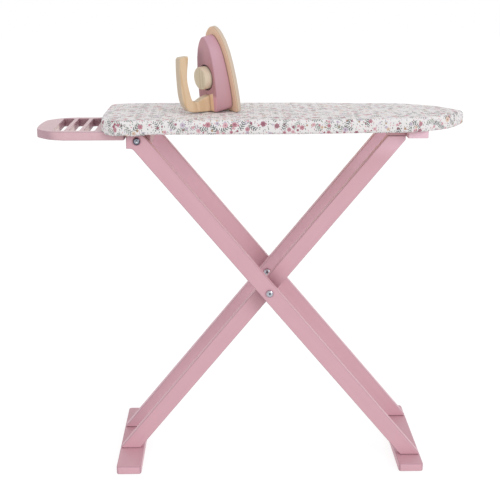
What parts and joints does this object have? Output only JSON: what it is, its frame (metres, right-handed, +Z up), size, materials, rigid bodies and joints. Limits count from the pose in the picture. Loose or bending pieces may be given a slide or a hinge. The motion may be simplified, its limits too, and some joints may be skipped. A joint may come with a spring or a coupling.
{
  "type": "toy ironing board with iron",
  "caption": "Wooden pretend-play ironing board with crossed folding legs, slotted iron rest, padded fabric cover and a wooden toy iron standing on its heel.",
  "frame": {"origin": "on the floor, under the middle of the overall length and of the depth", "axes": "+X along the board towards its rounded nose, +Y to the back, +Z up"},
  "size_m": [0.596, 0.192, 0.635],
  "materials": {
    "pink_paint": "matt lacquer",
    "plain_wood": "bare, sanded",
    "pale_wood": "bare, sanded",
    "cotton": "printed plain weave",
    "foam": "soft foam",
    "bright_steel": "bright nickel",
    "screw_steel": "zinc"
  },
  "bodies": {
    "board": {"deck_panel": "plain_wood", "foam_pad": "foam", "cover": "cotton", "rest_plank": "pink_paint", "hinge_block": "pink_paint", "stop_block": "pink_paint", "hinge_bolt_front": "bright_steel", "hinge_bolt_back": "bright_steel", "hinge_block_screw_front": "screw_steel", "hinge_block_screw_back": "screw_steel", "stop_screw_front": "screw_steel", "stop_screw_back": "screw_steel", "rest_screw_front": "screw_steel", "rest_screw_back": "screw_steel"},
    "outer_frame": {"outer_leg_front": "pink_paint", "outer_leg_back": "pink_paint", "right_foot": "pink_paint", "right_foot_screw_front_1": "screw_steel", "right_foot_screw_front_2": "screw_steel", "right_foot_screw_back_1": "screw_steel", "right_foot_screw_back_2": "screw_steel", "pivot_bolt_front": "bright_steel", "pivot_bolt_back": "bright_steel", "sleeve_nut_front": "bright_steel", "sleeve_nut_back": "bright_steel", "spacer_front": "pink_paint", "spacer_back": "pink_paint"},
    "inner_frame": {"inner_leg_front": "pink_paint", "inner_leg_back": "pink_paint", "left_foot": "pink_paint", "top_rail": "pink_paint", "rail_screw_front": "screw_steel", "rail_screw_back": "screw_steel", "left_foot_screw_front_1": "screw_steel", "left_foot_screw_front_2": "screw_steel", "left_foot_screw_back_1": "screw_steel", "left_foot_screw_back_2": "screw_steel"},
    "iron": {"iron_sole": "pale_wood", "iron_body": "pink_paint", "iron_handle": "plain_wood", "handle_dowel_lower": "pale_wood", "handle_dowel_upper": "pale_wood", "dial_pin": "plain_wood"},
    "iron_dial": {"iron_dial": "pale_wood"}
  },
  "joints": [
    {"name": "outer_legs_hinge", "type": "hinge", "parent": "board", "child": "outer_frame", "pos_m": [-0.1562, 0, 0.4877], "axis": [0, 1, 0], "range_deg": [0, 24]},
    {"name": "cross_pivot", "type": "hinge", "parent": "outer_frame", "child": "inner_frame", "pos_m": [0.02356, 0, 0.26964], "axis": [0, 1, 0], "range_deg": [-48, 0]},
    {"name": "iron_lift", "type": "slide", "parent": "board", "child": "iron", "axis": [0, 0, 1], "range_m": [0, 0.15]},
    {"name": "dial_turn", "type": "hinge", "parent": "iron", "child": "iron_dial", "pos_m": [-0.0637, -0.02156, 0.56654], "axis": [-0.8351, -0.5423, -0.0926], "continuous": true}
  ],
  "couplings": [
    {"joint": "cross_pivot", "follows": "outer_legs_hinge", "ratio": -2}
  ]
}
